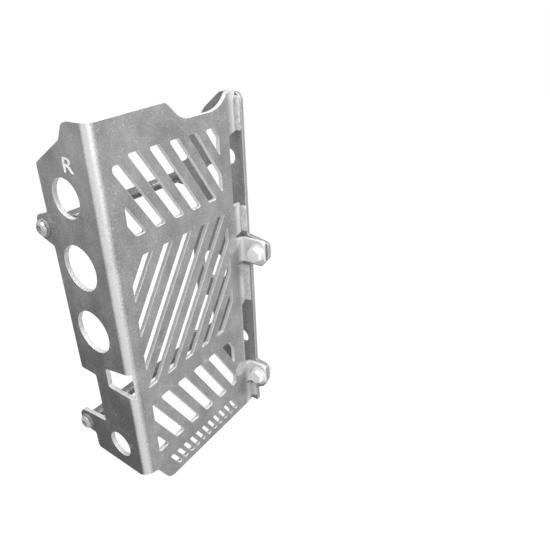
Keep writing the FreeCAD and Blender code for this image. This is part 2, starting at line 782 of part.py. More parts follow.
def innerSidePlate():
    top = guardHeight - size("side_top_drop")
    topFront = -size("side_top_overhang")
    bottomFront = -size("side_bottom_overhang")
    upperDepth = size("upper_cross_depth")
    upperHeight = heightOf("upper_cross_height")
    lowerDepth = size("lower_cross_depth")
    lowerHeight = heightOf("lower_cross_height")
    upperEdge = upperDepth + size("upper_ear_edge")
    lowerEdge = lowerDepth + size("lower_ear_edge")
    rear = size("side_rear_depth")
    waist = size("side_waist_depth")
    back = size("side_back_depth")
    step = size("side_step_depth")
    lowerEarTop = lowerHeight + size("lower_ear_edge")
    lowerEarBottom = lowerHeight - size("lower_ear_edge")
    upperTab = heightOf("upper_tab_bolt_height")
    lowerTab = heightOf("lower_tab_bolt_height")
    upperForward = -size("upper_front_ear_forward")
    lowerForward = -size("lower_front_ear_forward")
    cut = size("tab_corner_cut")
    corners = [
        (topFront, top, mediumRounding),
        (topFront, upperTab + size("upper_front_ear_rise"), tightRounding),
        (upperForward, upperTab + size("upper_front_ear_rise") - cut, smallRounding),
        (upperForward, upperTab - cut, smallRounding),
        (upperForward + cut * 2, upperTab - size("upper_front_ear_fall"), smallRounding),
        (bottomFront, upperTab - size("upper_front_ear_fall"), tightRounding),
        (bottomFront, lowerTab + size("lower_front_ear_rise"), tightRounding),
        (lowerForward, lowerTab + size("lower_front_ear_rise") - cut / 2, smallRounding),
        (lowerForward, lowerTab - cut, smallRounding),
        (-size("lower_front_ear_heel"), lowerTab - size("lower_front_ear_heel"), smallRounding),
        (bottomFront, lowerTab - size("lower_front_ear_fall"), tightRounding),
        (bottomFront, asSize(0), tightRounding),
        (size("side_toe_depth"), asSize(0), smallRounding),
        (size("side_foot_depth"), lowerEarBottom, mediumRounding),
        (lowerEdge, lowerEarBottom, largeRounding),
        (lowerEdge, lowerEarTop, largeRounding),
        (lowerDepth - size("cross_spacer_radius"), lowerEarTop, tightRounding),
        (step, heightOf("side_step_bottom_height"), smallRounding),
        (step, heightOf("side_step_height"), tightRounding),
        (back, heightOf("side_step_height"), tightRounding),
        (back, heightOf("side_back_top_height"), smallRounding),
        (waist, heightOf("side_waist_bottom_height"), smallRounding),
        (waist, upperHeight - size("upper_ear_edge"), mediumRounding),
        (upperEdge, upperHeight - size("upper_ear_edge"), mediumRounding),
        (upperEdge, upperHeight + size("upper_ear_edge"), mediumRounding),
        (rear, upperHeight + size("upper_ear_root") + cut, smallRounding),
        (rear, guardHeight - size("side_rear_drop"), smallRounding),
        (size("side_bevel_middle"), guardHeight - size("side_bevel_middle_drop"), largeRounding),
        (size("side_bevel_start"), top, largeRounding),
    ]
    plate = roundedPrism("side_plate_blank", "YZ", sidePlateFace, sheetThickness, corners)
    low = sidePlateFace - cutMargin
    through = sheetThickness + cutMargin * 2
    mountingRadius = size("mounting_hole_radius")
    cutters = [
        drill("side_top_hole", size("side_top_hole_radius"), low, through,
              size("side_top_hole_depth"), heightOf("side_top_hole_height")),
        drill("side_upper_hole", size("side_upper_hole_radius"), low, through,
              size("side_upper_hole_depth"), heightOf("side_upper_hole_height")),
        drill("side_lower_hole", size("side_lower_hole_radius"), low, through,
              size("side_lower_hole_depth"), heightOf("side_lower_hole_height")),
        drill("upper_mounting_hole", mountingRadius, low, through,
              size("upper_mounting_depth"), heightOf("upper_mounting_height")),
        drill("lower_mounting_hole", mountingRadius, low, through,
              size("lower_mounting_depth"), heightOf("lower_mounting_height")),
        drill("side_upper_ear_hole", crossHoleRadius, low, through, upperDepth, upperHeight),
        drill("side_lower_ear_hole", crossHoleRadius, low, through, lowerDepth, lowerHeight),
        drill("side_upper_tab_hole", tabHoleRadius, low, through,
              -size("upper_tab_bolt_forward"), upperTab),
        drill("side_lower_tab_hole", tabHoleRadius, low, through,
              -size("lower_tab_bolt_forward"), lowerTab),
    ]
    return place(cutFrom("inner_side_plate", plate, cutters))


# A fastener is modelled along its own Z axis and then turned onto the guard's X axis
def newBody(name):
    return doc.addObject("PartDesign::Body", name)


def bodySketch(body, name, role, height=None):
    sketch = body.newObject("Sketcher::SketchObject", body.Name + name)
    plane = [feature for feature in body.Origin.OriginFeatures if feature.Role == role][0]
    sketch.AttachmentSupport = [(plane, "")]
    sketch.MapMode = "FlatFace"
    if height is not None:
        bind(sketch, {"AttachmentOffset.Base.z": height})
    return sketch


def addPad(body, sketch, length, name):
    pad = body.newObject("PartDesign::Pad", body.Name + name)
    pad.Profile = sketch
    bind(pad, {"Length": length})


def turned(body, kind, sketch, name):
    feature = body.newObject(kind, body.Name + name)
    feature.Profile = sketch
    feature.ReferenceAxis = (sketch, ["V_Axis"])
    feature.Angle = 360


def hexagon(acrossFlats):
    corner = acrossFlats / rootOf(asSize(3))
    flat = acrossFlats / 2
    half = corner / 2
    return [
        (corner, asSize(0)),
        (half, flat),
        (-half, flat),
        (-corner, asSize(0)),
        (-half, -flat),
        (half, -flat),
    ]


def addCircle(sketch, radius):
    number = sketch.addGeometry(
        Part.Circle(FreeCAD.Vector(), FreeCAD.Vector(0, 0, 1), radius.value), False)
    sketch.addConstraint(Sketcher.Constraint("Coincident", number, 3, -1, 1))
    index = sketch.addConstraint(Sketcher.Constraint("Radius", number, radius.value))
    bind(sketch, {f"Constraints[{index}]": radius})


# Cuts the ring-shaped bevel that leaves a round face on top of a hexagon
def bevelHexagon(body, acrossFlats, height):
    start = acrossFlats / 2 - size("hex_bevel")
    corner = acrossFlats / rootOf(asSize(3)) + cutMargin
    slope = (corner - start) / 2
    sketch = bodySketch(body, "_bevel_sketch", "XZ_Plane")
    drawOutline(sketch, [(start, height), (corner, height - slope), (corner, height)])
    turned(body, "PartDesign::Groove", sketch, "_bevel")


# Half of a bolt's shank, from its seat down to its bevelled end
def shankCorners(length, radius):
    chamfer = size("bolt_end_chamfer")
    return [
        (asSize(0), -length),
        (radius - chamfer, -length),
        (radius, chamfer - length),
        (radius, asSize(0)),
    ]


# Domed head with a hexagonal socket, and a long plain shank
def crossBolt(name, depth, height):
    body = newBody(name)
    sketch = bodySketch(body, "_profile", "XZ_Plane")
    length = washerThickness * 2 + guardWidth + size("cross_nut_height") + size("thread_run_out")
    head = size("button_height")
    drawOutline(sketch, shankCorners(length, crossBoltRadius) + [
        (size("button_radius"), asSize(0)),
        (size("button_radius"), size("button_rim"), None, size("button_radius")),
        (size("button_crown_radius"), head),
        (asSize(0), head),
    ])
    turned(body, "PartDesign::Revolution", sketch, "_turned")
    socket = bodySketch(body, "_socket_sketch", "XY_Plane", head - size("socket_depth"))
    drawOutline(socket, hexagon(size("socket_across_flats")))
    pocket = body.newObject("PartDesign::Pocket", name + "_socket")
    pocket.Profile = socket
    pocket.Reversed = True
    bind(pocket, {"Length": size("socket_depth") + cutMargin})
    body.Placement = FreeCAD.Placement(FreeCAD.Vector(), againstX)
    return place(body, -washerThickness, depth, height)


# Hexagonal head on a round flange, and a short shank
def tabBolt(name, forward, height):
    body = newBody(name)
    head = bodySketch(body, "_head_sketch", "XY_Plane")
    drawOutline(head, hexagon(size("tab_hex_across_flats")))
    addPad(body, head, size("tab_head_height"), "_head")
    bevelHexagon(body, size("tab_hex_across_flats"), size("tab_head_height"))
    sketch = bodySketch(body, "_profile", "XZ_Plane")
    length = sheetThickness * 2 + washerThickness + size("tab_nut_height") + size("thread_run_out")
    drawOutline(sketch, shankCorners(length, tabBoltRadius) + [
        (size("tab_flange_radius"), asSize(0)),
        (size("tab_flange_radius"), size("tab_flange_height") / 2),
        (size("tab_hex_across_flats") / 2, size("tab_flange_height")),
        (asSize(0), size("tab_flange_height")),
    ])
    turned(body, "PartDesign::Revolution", sketch, "_turned")
    body.Placement = FreeCAD.Placement(FreeCAD.Vector(), againstX)
    return place(body, sidePlateFace - sheetThickness, -forward, height)


def nut(name, depth, height, acrossFlats, thickness, boltRadius):
    body = newBody(name)
    sketch = bodySketch(body, "_sketch", "XY_Plane")
    drawOutline(sketch, hexagon(acrossFlats))
    addCircle(sketch, boltRadius + size("thread_clearance"))
    addPad(body, sketch, thickness, "_pad")
    bevelHexagon(body, acrossFlats, thickness)
    body.Placement = FreeCAD.Placement(FreeCAD.Vector(), alongX)
    return place(body, guardWidth + washerThickness, depth, height)


# A washer or a spacer tube, which is a ring drawn out to its length
def ring(name, across, depth, height, length, outerRadius, holeRadius):
    body = newBody(name)
    sketch = bodySketch(body, "_sketch", "XY_Plane")
    addCircle(sketch, outerRadius)
    addCircle(sketch, holeRadius)
    addPad(body, sketch, length, "_pad")
    body.Placement = FreeCAD.Placement(FreeCAD.Vector(), alongX)
    return place(body, across, depth, height)


def tabFasteners(side):
    forward = size(side + "_tab_bolt_forward")
    height = heightOf(side + "_tab_bolt_height")
    return [
        tabBolt(side + "_tab_bolt", forward, height),
        ring(side + "_tab_washer", guardWidth, -forward, height, washerThickness,
             size("tab_washer_radius"), tabHoleRadius),
        nut(side + "_tab_nut", -forward, height, size("tab_hex_across_flats"), size("tab_nut_height"),
            tabBoltRadius),
    ]


def crossFasteners(side):
    depth = size(side + "_cross_depth")
    height = heightOf(side + "_cross_height")
    radius = size("cross_washer_radius")
    return [
        crossBolt(side + "_cross_bolt", depth, height),
        ring(side + "_cross_outer_washer", -washerThickness, depth, height, washerThickness, radius,
             crossHoleRadius),
        ring(side + "_cross_inner_washer", guardWidth, depth, height, washerThickness, radius,
             crossHoleRadius),
        ring(side + "_cross_spacer", sheetThickness, depth, height, sidePlateFace - sheetThickness,
             size("cross_spacer_radius"), crossHoleRadius),
        nut(side + "_cross_nut", depth, height, size("cross_nut_across_flats"), size("cross_nut_height"),
            crossBoltRadius),
    ]


pieces = [guardShell(), innerSidePlate()]
for side in ("upper", "lower"):
    pieces += tabFasteners(side) + crossFasteners(side)
doc.recompute()

for item in doc.Objects:
    if "Invalid" in item.State or "Error" in item.State:
        raise RuntimeError(f"{item.Name} failed: {item.State}")
for piece in pieces:
    if piece.Shape.isNull() or not piece.Shape.isValid() or len(piece.Shape.Solids) != 1:
        raise RuntimeError(f"{piece.Label} is not one valid solid")

os.makedirs("parts", exist_ok=True)
for piece in pieces:
    piece.Shape.exportStep(f"parts/{piece.Label}.step")
    print(piece.Label, round(piece.Shape.Volume), "mm3")
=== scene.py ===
import math

import bpy
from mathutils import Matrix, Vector


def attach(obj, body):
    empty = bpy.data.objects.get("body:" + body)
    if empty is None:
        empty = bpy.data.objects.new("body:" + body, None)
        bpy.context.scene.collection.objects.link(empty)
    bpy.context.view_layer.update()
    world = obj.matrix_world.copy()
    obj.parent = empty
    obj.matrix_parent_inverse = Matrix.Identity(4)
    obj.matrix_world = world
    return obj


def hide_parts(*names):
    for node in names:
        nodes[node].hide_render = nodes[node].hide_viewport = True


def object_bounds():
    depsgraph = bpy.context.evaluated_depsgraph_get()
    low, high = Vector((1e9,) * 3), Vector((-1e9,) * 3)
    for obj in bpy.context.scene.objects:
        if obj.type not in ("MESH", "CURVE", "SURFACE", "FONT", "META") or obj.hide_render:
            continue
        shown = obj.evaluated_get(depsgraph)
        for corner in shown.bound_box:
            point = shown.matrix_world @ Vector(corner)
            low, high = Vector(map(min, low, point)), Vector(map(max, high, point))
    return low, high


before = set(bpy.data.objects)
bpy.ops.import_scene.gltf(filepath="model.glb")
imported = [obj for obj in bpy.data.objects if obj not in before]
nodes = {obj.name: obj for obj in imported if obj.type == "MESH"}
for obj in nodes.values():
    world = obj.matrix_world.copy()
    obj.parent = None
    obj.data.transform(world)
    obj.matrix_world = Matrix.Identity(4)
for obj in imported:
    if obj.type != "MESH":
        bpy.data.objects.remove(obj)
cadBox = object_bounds()
mm = 0.001
print("frame loaded:", len(nodes), "nodes")


# Adds a shader node. Inputs are values or other nodes' sockets.
def addNode(tree, kind, inputs=None, **settings):
    node = tree.nodes.new(kind)
    for name, value in settings.items():
        setattr(node, name, value)
    for name, value in (inputs or {}).items():
        if isinstance(value, bpy.types.NodeSocket):
            tree.links.new(value, node.inputs[name])
        else:
            node.inputs[name].default_value = value
    return node


def calculate(tree, operation, first, second, third=None, clamp=False):
    inputs = {0: first, 1: second}
    if third is not None:
        inputs[2] = third
    return addNode(tree, "ShaderNodeMath", inputs, operation=operation, use_clamp=clamp).outputs[0]


# Low becomes lowest and high becomes highest, with nothing outside them
def spread(tree, value, low, high, lowest=0.0, highest=1.0):
    inputs = {"Value": value, "From Min": low, "From Max": high, "To Min": lowest, "To Max": highest}
    return addNode(tree, "ShaderNodeMapRange", inputs, clamp=True).outputs[0]


def stretched(tree, vector, scale):
    return addNode(tree, "ShaderNodeMapping", {"Vector": vector, "Scale": scale}).outputs[0]


def noise(tree, vector, scale, detail, roughness=0.5):
    inputs = {"Vector": vector, "Scale": scale, "Detail": detail, "Roughness": roughness}
    return addNode(tree, "ShaderNodeTexNoise", inputs).outputs["Fac"]


def newGroup(name, inputs, outputs):
    group = bpy.data.node_groups.new(name, "ShaderNodeTree")
    for socket, value in inputs.items():
        kind = "NodeSocketVector" if isinstance(value, tuple) else "NodeSocketFloat"
        made = group.interface.new_socket(socket, in_out="INPUT", socket_type=kind)
        made.default_value = value
    for socket in outputs:
        group.interface.new_socket(socket, in_out="OUTPUT", socket_type="NodeSocketFloat")
    start = group.nodes.new("NodeGroupInput")
    end = group.nodes.new("NodeGroupOutput")
    return group, start.outputs, end.inputs


def useGroup(tree, group, inputs):
    return addNode(tree, "ShaderNodeGroup", inputs, node_tree=group).outputs


rolledSet = {
    "cloudDetail": 5.0,
    "cloudRoughness": 0.62,
    "cloudRange": (0.32, 0.68),
    "grainDetail": 4.0,
    "grainRoughness": 0.7,
    "grainRange": (0.28, 0.72),
    "fleckFade": (0.36, 0.12),  # cells from a fleck's middle where it starts and is full
    "fleckHeight": 0.8,  # against the grain's
}


# Mottled rolled aluminium: broad clouds, fine grain and small bright flecks
def rolledSheetEffect():
    group, given, result = newGroup(
        "rolledSheet",
        {"Vector": (0.0, 0.0, 0.0), "Cloud Scale": 60.0, "Grain Scale": 1400.0, "Fleck Scale": 620.0,
         "Fleck Share": 0.1, "Stretch": 0.7},
        ["Cloud", "Grain", "Fleck", "Height"])
    # The pattern is longer along Z, the way that the sheet was rolled
    squeeze = addNode(group, "ShaderNodeCombineXYZ", {"X": 1.0, "Y": 1.0, "Z": given["Stretch"]})
    rolled = stretched(group, given["Vector"], squeeze.outputs[0])
    broad = noise(group, rolled, given["Cloud Scale"],
                  rolledSet["cloudDetail"], rolledSet["cloudRoughness"])
    group.links.new(spread(group, broad, *rolledSet["cloudRange"]), result["Cloud"])
    fine = noise(group, rolled, given["Grain Scale"],
                 rolledSet["grainDetail"], rolledSet["grainRoughness"])
    grain = spread(group, fine, *rolledSet["grainRange"])
    group.links.new(grain, result["Grain"])
    cells = addNode(group, "ShaderNodeTexVoronoi", {"Vector": rolled, "Scale": given["Fleck Scale"]})
    chosen = addNode(group, "ShaderNodeSeparateColor", {"Color": cells.outputs["Color"]}).outputs[0]
    rare = calculate(group, "LESS_THAN", chosen, given["Fleck Share"])
    near = spread(group, cells.outputs["Distance"], *rolledSet["fleckFade"])
    fleck = calculate(group, "MULTIPLY", rare, near)
    group.links.new(fleck, result["Fleck"])
    height = calculate(group, "MULTIPLY_ADD", fleck, rolledSet["fleckHeight"], grain)
    group.links.new(height, result["Height"])
    return group


scratchSet = {
    "wobbleScale": 30.0,
    "wobbleDetail": 1.0,
    "wobbleShare": 0.06,
    "lengthwise": 0.05,  # the pattern's scale along a scratch
    "thinness": 0.012,  # cells from a scratch's middle to where it ends
    "patchScale": 38.0,
    "patchDetail": 2.0,
}


# Long thin handling scratches, in patches
def scratchEffect():
    group, given, result = newGroup(
        "scratches", {"Vector": (0.0, 0.0, 0.0), "Scale": 55.0, "Angle": 0.6, "Share": 0.5}, ["Mark"])
    turn = addNode(group, "ShaderNodeCombineXYZ", {"X": given["Angle"], "Y": given["Angle"], "Z": 0.0})
    turnedWay = addNode(group, "ShaderNodeMapping", {
        "Vector": given["Vector"], "Rotation": turn.outputs[0]}).outputs[0]
    wobble = addNode(group, "ShaderNodeTexNoise", {
        "Vector": turnedWay, "Scale": scratchSet["wobbleScale"], "Detail": scratchSet["wobbleDetail"]})
    bent = addNode(
        group, "ShaderNodeMix",
        {"Factor": scratchSet["wobbleShare"], "A": turnedWay, "B": wobble.outputs["Color"]},
        data_type="VECTOR")
    long = stretched(group, bent.outputs["Result"], (1.0, 1.0, scratchSet["lengthwise"]))
    lines = addNode(group, "ShaderNodeTexVoronoi", {"Vector": long, "Scale": given["Scale"]},
                    feature="DISTANCE_TO_EDGE")
    thin = spread(group, lines.outputs["Distance"], scratchSet["thinness"], 0.0)
    where = noise(group, given["Vector"], scratchSet["patchScale"], scratchSet["patchDetail"])
    limit = calculate(group, "SUBTRACT", 1.0, given["Share"])
    kept = calculate(group, "GREATER_THAN", where, limit)
    group.links.new(calculate(group, "MULTIPLY", thin, kept), result["Mark"])
    return group


spotSet = {
    "rimScale": 420.0,
    "rimDetail": 3.0,
    "rimDepth": 2.2 * mm,
    "fade": 1.4 * mm,
}


# Soft round spot, ragged at its rim, for a painted highlight where the sheet dimples
def spotEffect():
    group, given, result = newGroup(
        "highlightSpot", {"Vector": (0.0, 0.0, 0.0), "Middle": (0.0, 0.0, 0.0), "Radius": 0.005}, ["Mark"])
    away = addNode(group, "ShaderNodeVectorMath", {0: given["Vector"], 1: given["Middle"]},
                   operation="DISTANCE").outputs["Value"]
    rim = noise(group, given["Vector"], spotSet["rimScale"], spotSet["rimDetail"])
    ragged = calculate(group, "MULTIPLY_ADD", rim, spotSet["rimDepth"], away)
    reach = calculate(group, "ADD", given["Radius"], spotSet["rimDepth"] / 2)
    inside = calculate(group, "SUBTRACT", reach, ragged)
    group.links.new(spread(group, inside, 0.0, spotSet["fade"]), result["Mark"])
    return group


bendSet = {
    "highlightRange": (0.05, 0.36),  # side x side x front where the painted highlight starts and where it is full
}


# Band along a bend, where a painted highlight is laid into the colour and the sheet is made smoother
def bendEffect():
    group, given, result = newGroup(
        "bendBand", {"Vector": (0.0, 0.0, 0.0), "Across": 0.0, "Depth": 0.0, "Radius": 0.0065}, ["Mark"])
    split = addNode(group, "ShaderNodeSeparateXYZ", {"Vector": given["Vector"]}).outputs
    outward = calculate(group, "MAXIMUM", calculate(group, "SUBTRACT", given["Across"], split["X"]), 0.0)
    forward = calculate(group, "MAXIMUM", calculate(group, "SUBTRACT", given["Depth"], split["Y"]), 0.0)
    side = calculate(group, "DIVIDE", outward, given["Radius"])
    front = calculate(group, "DIVIDE", forward, given["Radius"])
    shine = calculate(group, "MULTIPLY", calculate(group, "MULTIPLY", side, side), front)
    group.links.new(spread(group, shine, *bendSet["highlightRange"]), result["Mark"])
    return group


rolledSheet = rolledSheetEffect()
scratches = scratchEffect()
highlightSpot = spotEffect()
bendBand = bendEffect()
print("effects built")


def newMaterial(name, metallic, roughness):
    material = bpy.data.materials.new(name)
    material.use_nodes = True
    tree = material.node_tree
    shader = tree.nodes["Principled BSDF"]
    shader.inputs["Metallic"].default_value = metallic
    shader.inputs["Roughness"].default_value = roughness
    place = addNode(tree, "ShaderNodeTexCoord").outputs["Object"]
    return material, tree, shader, place


def blendColour(tree, value, dark, light):
    mix = addNode(tree, "ShaderNodeMix", {"Factor": value}, data_type="RGBA")
    mix.inputs["A"].default_value = (*dark, 1)
    mix.inputs["B"].default_value = (*light, 1)
    return mix.outputs["Result"]


def addBump(tree, shader, height, strength, distance):
    bump = addNode(tree, "ShaderNodeBump", {"Height": height, "Strength": strength, "Distance": distance})
    tree.links.new(bump.outputs["Normal"], shader.inputs["Normal"])


# Painted highlight: the curved lip gets lighter towards its edge. Painted shade: the flange gets darker on
# the way down
def paintShellHighlightAndShade(tree, place, cloud, shading, total):
    split = addNode(tree, "ShaderNodeSeparateXYZ", {"Vector": place}).outputs
    flange = calculate(tree, "MULTIPLY", spread(tree, split["X"], *shading["flangeAcross"]),
                       spread(tree, split["Y"], *shading["flangeDepth"]))
    foot = calculate(tree, "MULTIPLY", flange, spread(tree, split["Z"], *shading["foot"]))
    total = calculate(tree, "MULTIPLY_ADD", foot, -shading["footPaintedShade"], total)
    lip = spread(tree, split["X"], *shading["lip"])
    lip = calculate(tree, "MULTIPLY", lip, spread(tree, cloud, 0.0, 1.0, shading["lipCloud"], 1.0))
    return calculate(tree, "MULTIPLY_ADD", lip, shading["lipPaintedHighlight"], total)


def sheetMaterial(name, look):
    material, tree, shader, place = newMaterial(name, look["metallic"], look["roughness"])
    sheet = useGroup(tree, rolledSheet, {
        "Vector": place, "Cloud Scale": look["cloudScale"], "Grain Scale": look["grainScale"],
        "Fleck Scale": look["fleckScale"], "Fleck Share": look["fleckShare"]})
    marks = useGroup(tree, scratches, {"Vector": place, "Share": look["scratchShare"]})
    total = calculate(tree, "MULTIPLY_ADD", sheet["Cloud"], look["cloudAmount"], look["base"])
    total = calculate(tree, "MULTIPLY_ADD", sheet["Grain"], look["grainAmount"], total)
    total = calculate(tree, "MULTIPLY_ADD", sheet["Fleck"], look["fleckAmount"], total)
    total = calculate(tree, "MULTIPLY_ADD", marks["Mark"], look["scratchAmount"], total)
    polish = sheet["Fleck"]
    # Painted highlights where the sheet dimples beside the tabs
    for middle, radius, amount in look["spots"]:
        spot = useGroup(tree, highlightSpot, {"Vector": place, "Middle": middle, "Radius": radius})
        total = calculate(tree, "MULTIPLY_ADD", spot["Mark"], amount, total)
    # Painted highlight on the curved lip and painted shade down the flange
    if look["shading"]:
        total = paintShellHighlightAndShade(tree, place, sheet["Cloud"], look["shading"], total)
    # Painted highlight along the bend between the flange and the front, which is also made smoother
    if look["bend"]:
        band = useGroup(tree, bendBand, {"Vector": place, **look["bend"]})["Mark"]
        speckled = calculate(tree, "MULTIPLY", band, spread(tree, sheet["Grain"], *look["bendSpeckle"]))
        total = calculate(tree, "MULTIPLY_ADD", speckled, look["bendHighlightAmount"], total)
        polish = calculate(tree, "MAXIMUM", polish, band)
    colour = blendColour(tree, calculate(tree, "ADD", total, 0.0, clamp=True), look["dark"], look["light"])
    tree.links.new(colour, shader.inputs["Base Color"])
    vary = look["roughnessVary"]
    rough = spread(tree, sheet["Cloud"], 0.0, 1.0, look["roughness"] - vary, look["roughness"] + vary)
    rough = calculate(tree, "MULTIPLY_ADD", polish, -look["polish"], rough)
    tree.links.new(rough, shader.inputs["Roughness"])
    addBump(tree, shader, sheet["Height"], look["bump"], look["bumpDepth"])
    return material


# Laser-cut wall, with striations straight through the sheet
def cutMaterial(name, look, through):
    material, tree, shader, place = newMaterial(name, look["metallic"], look["roughness"])
    drawn = stretched(tree, place, through)
    lines = noise(tree, drawn, look["lineScale"], look["detail"], look["lineRoughness"])
    lines = spread(tree, lines, *look["range"])
    patches = noise(tree, place, look["patchScale"], look["detail"])
    total = calculate(tree, "MULTIPLY", lines, look["lineAmount"])
    total = calculate(tree, "MULTIPLY_ADD", patches, look["patchAmount"], total, clamp=True)
    tree.links.new(blendColour(tree, total, look["dark"], look["light"]), shader.inputs["Base Color"])
    vary = look["roughnessVary"]
    rough = spread(tree, patches, *look["range"], look["roughness"] - vary, look["roughness"] + vary)
    tree.links.new(rough, shader.inputs["Roughness"])
    addBump(tree, shader, lines, look["bump"], look["bumpDepth"])
    return material


shellLook = {
    "metallic": 0.3,
    "roughness": 0.45,
    "roughnessVary": 0.05,
    "polish": 0.1,  # how much smoother the flecks and the band along the bend are
    "dark": (0.095, 0.095, 0.097),
    "light": (0.80, 0.80, 0.80),
    "base": 0.085,
    "cloudScale": 60.0,  # blotches about 15 mm across
    "cloudAmount": 0.2,
    "grainScale": 1100.0,
    "grainAmount": 0.26,
    "fleckScale": 700.0,
    "fleckShare": 0.14,
    "fleckAmount": 0.3,
    "scratchShare": 0.48,
    "scratchAmount": 0.16,
    # Painted highlights where the sheet dimples beside the tabs
    "spots": [
        ((-0.0172, -0.010, -0.1723), 0.0068, 0.28),  # painted highlight where the sheet dimples beside the lower tab
        ((-0.0165, -0.010, -0.0613), 0.0075, 0.14),  # painted highlight where the sheet bends at the root of the upper tab
    ],
    # Painted highlight along the bend
    "bend": {"Across": -0.1145, "Depth": -0.0035, "Radius": 0.0065},
    "bendHighlightAmount": 1.0,
    "bendSpeckle": (0.1, 0.9, 0.55, 1.0),  # range of grain, and the painted highlight's brightness at its ends
    # Painted highlight on the curved lip and painted shade down the flange
    "shading": {
        "lip": (-0.0125, -0.0065),  # where the painted highlight on the curved lip starts and where it is at its lightest
        "lipPaintedHighlight": 0.75,
        "lipCloud": 0.8,  # what the darkest clouds leave of that
        "flangeAcross": (-0.1165, -0.1195),  # the painted shade lies outboard of this
        "flangeDepth": (-0.007, -0.0035),  # and behind this
        "foot": (0.04, -0.2),  # heights where the painted shade on the flange starts and where it is at its darkest
        "footPaintedShade": 0.36,
    },
    "bump": 0.35,
    "bumpDepth": 0.15 * mm,
}
# The same sheet without the marks, painted highlights and painted shade that belong to places on the shell
plainLook = dict(shellLook, spots=[], bend=None, shading=None)
plateLook = dict(plainLook, roughness=0.4)
edgeLook = dict(plainLook, metallic=0.4, roughness=0.36,
                dark=(0.62, 0.62, 0.62), light=(0.95, 0.95, 0.95))
stampLook = dict(edgeLook, metallic=0.1, dark=(0.86, 0.86, 0.86), light=(0.98, 0.98, 0.98))
zincLook = dict(plainLook, metallic=0.05, roughness=0.45, fleckShare=0.05,
                dark=(0.88, 0.88, 0.88), light=(0.98, 0.98, 0.97))
boltLook = dict(plainLook, metallic=0.45, roughness=0.32,
                dark=(0.42, 0.42, 0.42), light=(0.97, 0.97, 0.97))
# Painted shade: dark rings where the long bolts' heads, washers and nuts meet
paintedShadeLook = dict(boltLook, metallic=0.1, roughness=0.6,
                 dark=(0.06, 0.06, 0.06), light=(0.2, 0.2, 0.2))
tubeLook = dict(plainLook, metallic=0.6, roughness=0.32,
                dark=(0.2, 0.2, 0.205), light=(0.62, 0.62, 0.62))
weldLook = dict(plainLook, metallic=0.2, cloudScale=420.0, cloudAmount=0.5,
                dark=(0.34, 0.34, 0.34), light=(0.95, 0.95, 0.95))
# Lighter than the sheet for a matte laser-cut face, and lighter still as a painted highlight, since many
# of these walls face away from the lamps
cutLook = {
    "metallic": 0.25,
    "roughness": 0.55,
    "roughnessVary": 0.06,
    "dark": (0.74, 0.74, 0.74),
    "light": (0.98, 0.98, 0.98),
    "detail": 3.0,
    "range": (0.3, 0.7),  # of the noise that is used
    "lineScale": 1500.0,
    "lineRoughness": 0.6,
    "lineAmount": 0.5,
    "patchScale": 90.0,
    "patchAmount": 0.5,
    "bump": 0.4,
    "bumpDepth": 0.2 * mm,
}
# Painted shade: a darker copy of the cut finish for the side plate's cut walls, whose front edge faces the
# key lamp
plateCutShadedLook = dict(cutLook, dark=(0.24, 0.24, 0.24), light=(0.46, 0.46, 0.46))
throughFront = (1.0, 0.06, 1.0)  # draws the striations out through a sheet that lies across Y
throughSide = (0.06, 1.0, 1.0)

shellMetal = sheetMaterial("shell_aluminium", shellLook)
plateMetal = sheetMaterial("plate_aluminium", plateLook)
edgeMetal = sheetMaterial("worn_edge_aluminium", edgeLook)
stampMetal = sheetMaterial("stamped_aluminium", stampLook)
weldMetal = sheetMaterial("weld_aluminium", weldLook)
zincMetal = sheetMaterial("zinc_steel", zincLook)
boltMetal = sheetMaterial("long_bolt_steel", boltLook)
paintedEdgeShade = sheetMaterial("painted_shade_in_gaps", paintedShadeLook)
tubeMetal = sheetMaterial("spacer_tube_steel", tubeLook)
frontCutMetal = cutMaterial("front_cut_aluminium", cutLook, throughFront)
sideCutMetal = cutMaterial("side_cut_aluminium", cutLook, throughSide)
plateCutShadedMetal = cutMaterial("plate_cut_aluminium_painted_shade", plateCutShadedLook, throughSide)
print("materials built")


def deselectAll():
    for item in bpy.context.selected_objects:
        item.select_set(False)


def selectOnly(item):
    deselectAll()
    item.select_set(True)
    bpy.context.view_layer.objects.active = item


def applyModifier(piece, kind, **settings):
    modifier = piece.modifiers.new(kind.lower(), kind)
    for name, value in settings.items():
        setattr(modifier, name, value)
    selectOnly(piece)
    bpy.ops.object.modifier_apply(modifier=modifier.name)


# Runs mesh tools, each with its settings, on the whole of a piece
def editWhole(piece, steps):
    selectOnly(piece)
    bpy.ops.object.mode_set(mode="EDIT")
    bpy.ops.mesh.select_all(action="SELECT")
    for tool, settings in steps:
        tool(**settings)
    bpy.ops.object.mode_set(mode="OBJECT")


# Places among a piece's materials of its own metal and of its edges: worn edges on the sheets, painted
# shade on the long bolts' edges
mainSlot = 0
edgeSlot = 1

meshSet = {
    "samePoint": 0.005 * mm,
    "sameCutPoint": 0.002 * mm,
    "needle": 0.004 * mm,  # faces narrower than this go after a cut
    "flatWithin": math.radians(0.6),
    "flatAfterCut": math.radians(0.3),
    "softenFrom": math.radians(35),
    "smoothUpTo": math.radians(38),
    "flatWeight": 50,
}


# Copy of a CAD node with merged points and as few flat faces as its shape allows
def mergedCopy(node, materials):
    mesh = nodes[node].data.copy()
    mesh.materials.clear()
    for material in materials:
        mesh.materials.append(material)
    piece = bpy.data.objects.new(node + "_finished", mesh)
    bpy.context.scene.collection.objects.link(piece)
    editWhole(piece, [
        (bpy.ops.mesh.remove_doubles, {"threshold": meshSet["samePoint"]}),
        (bpy.ops.mesh.dissolve_limited, {"angle_limit": meshSet["flatWithin"]}),
    ])
    return piece


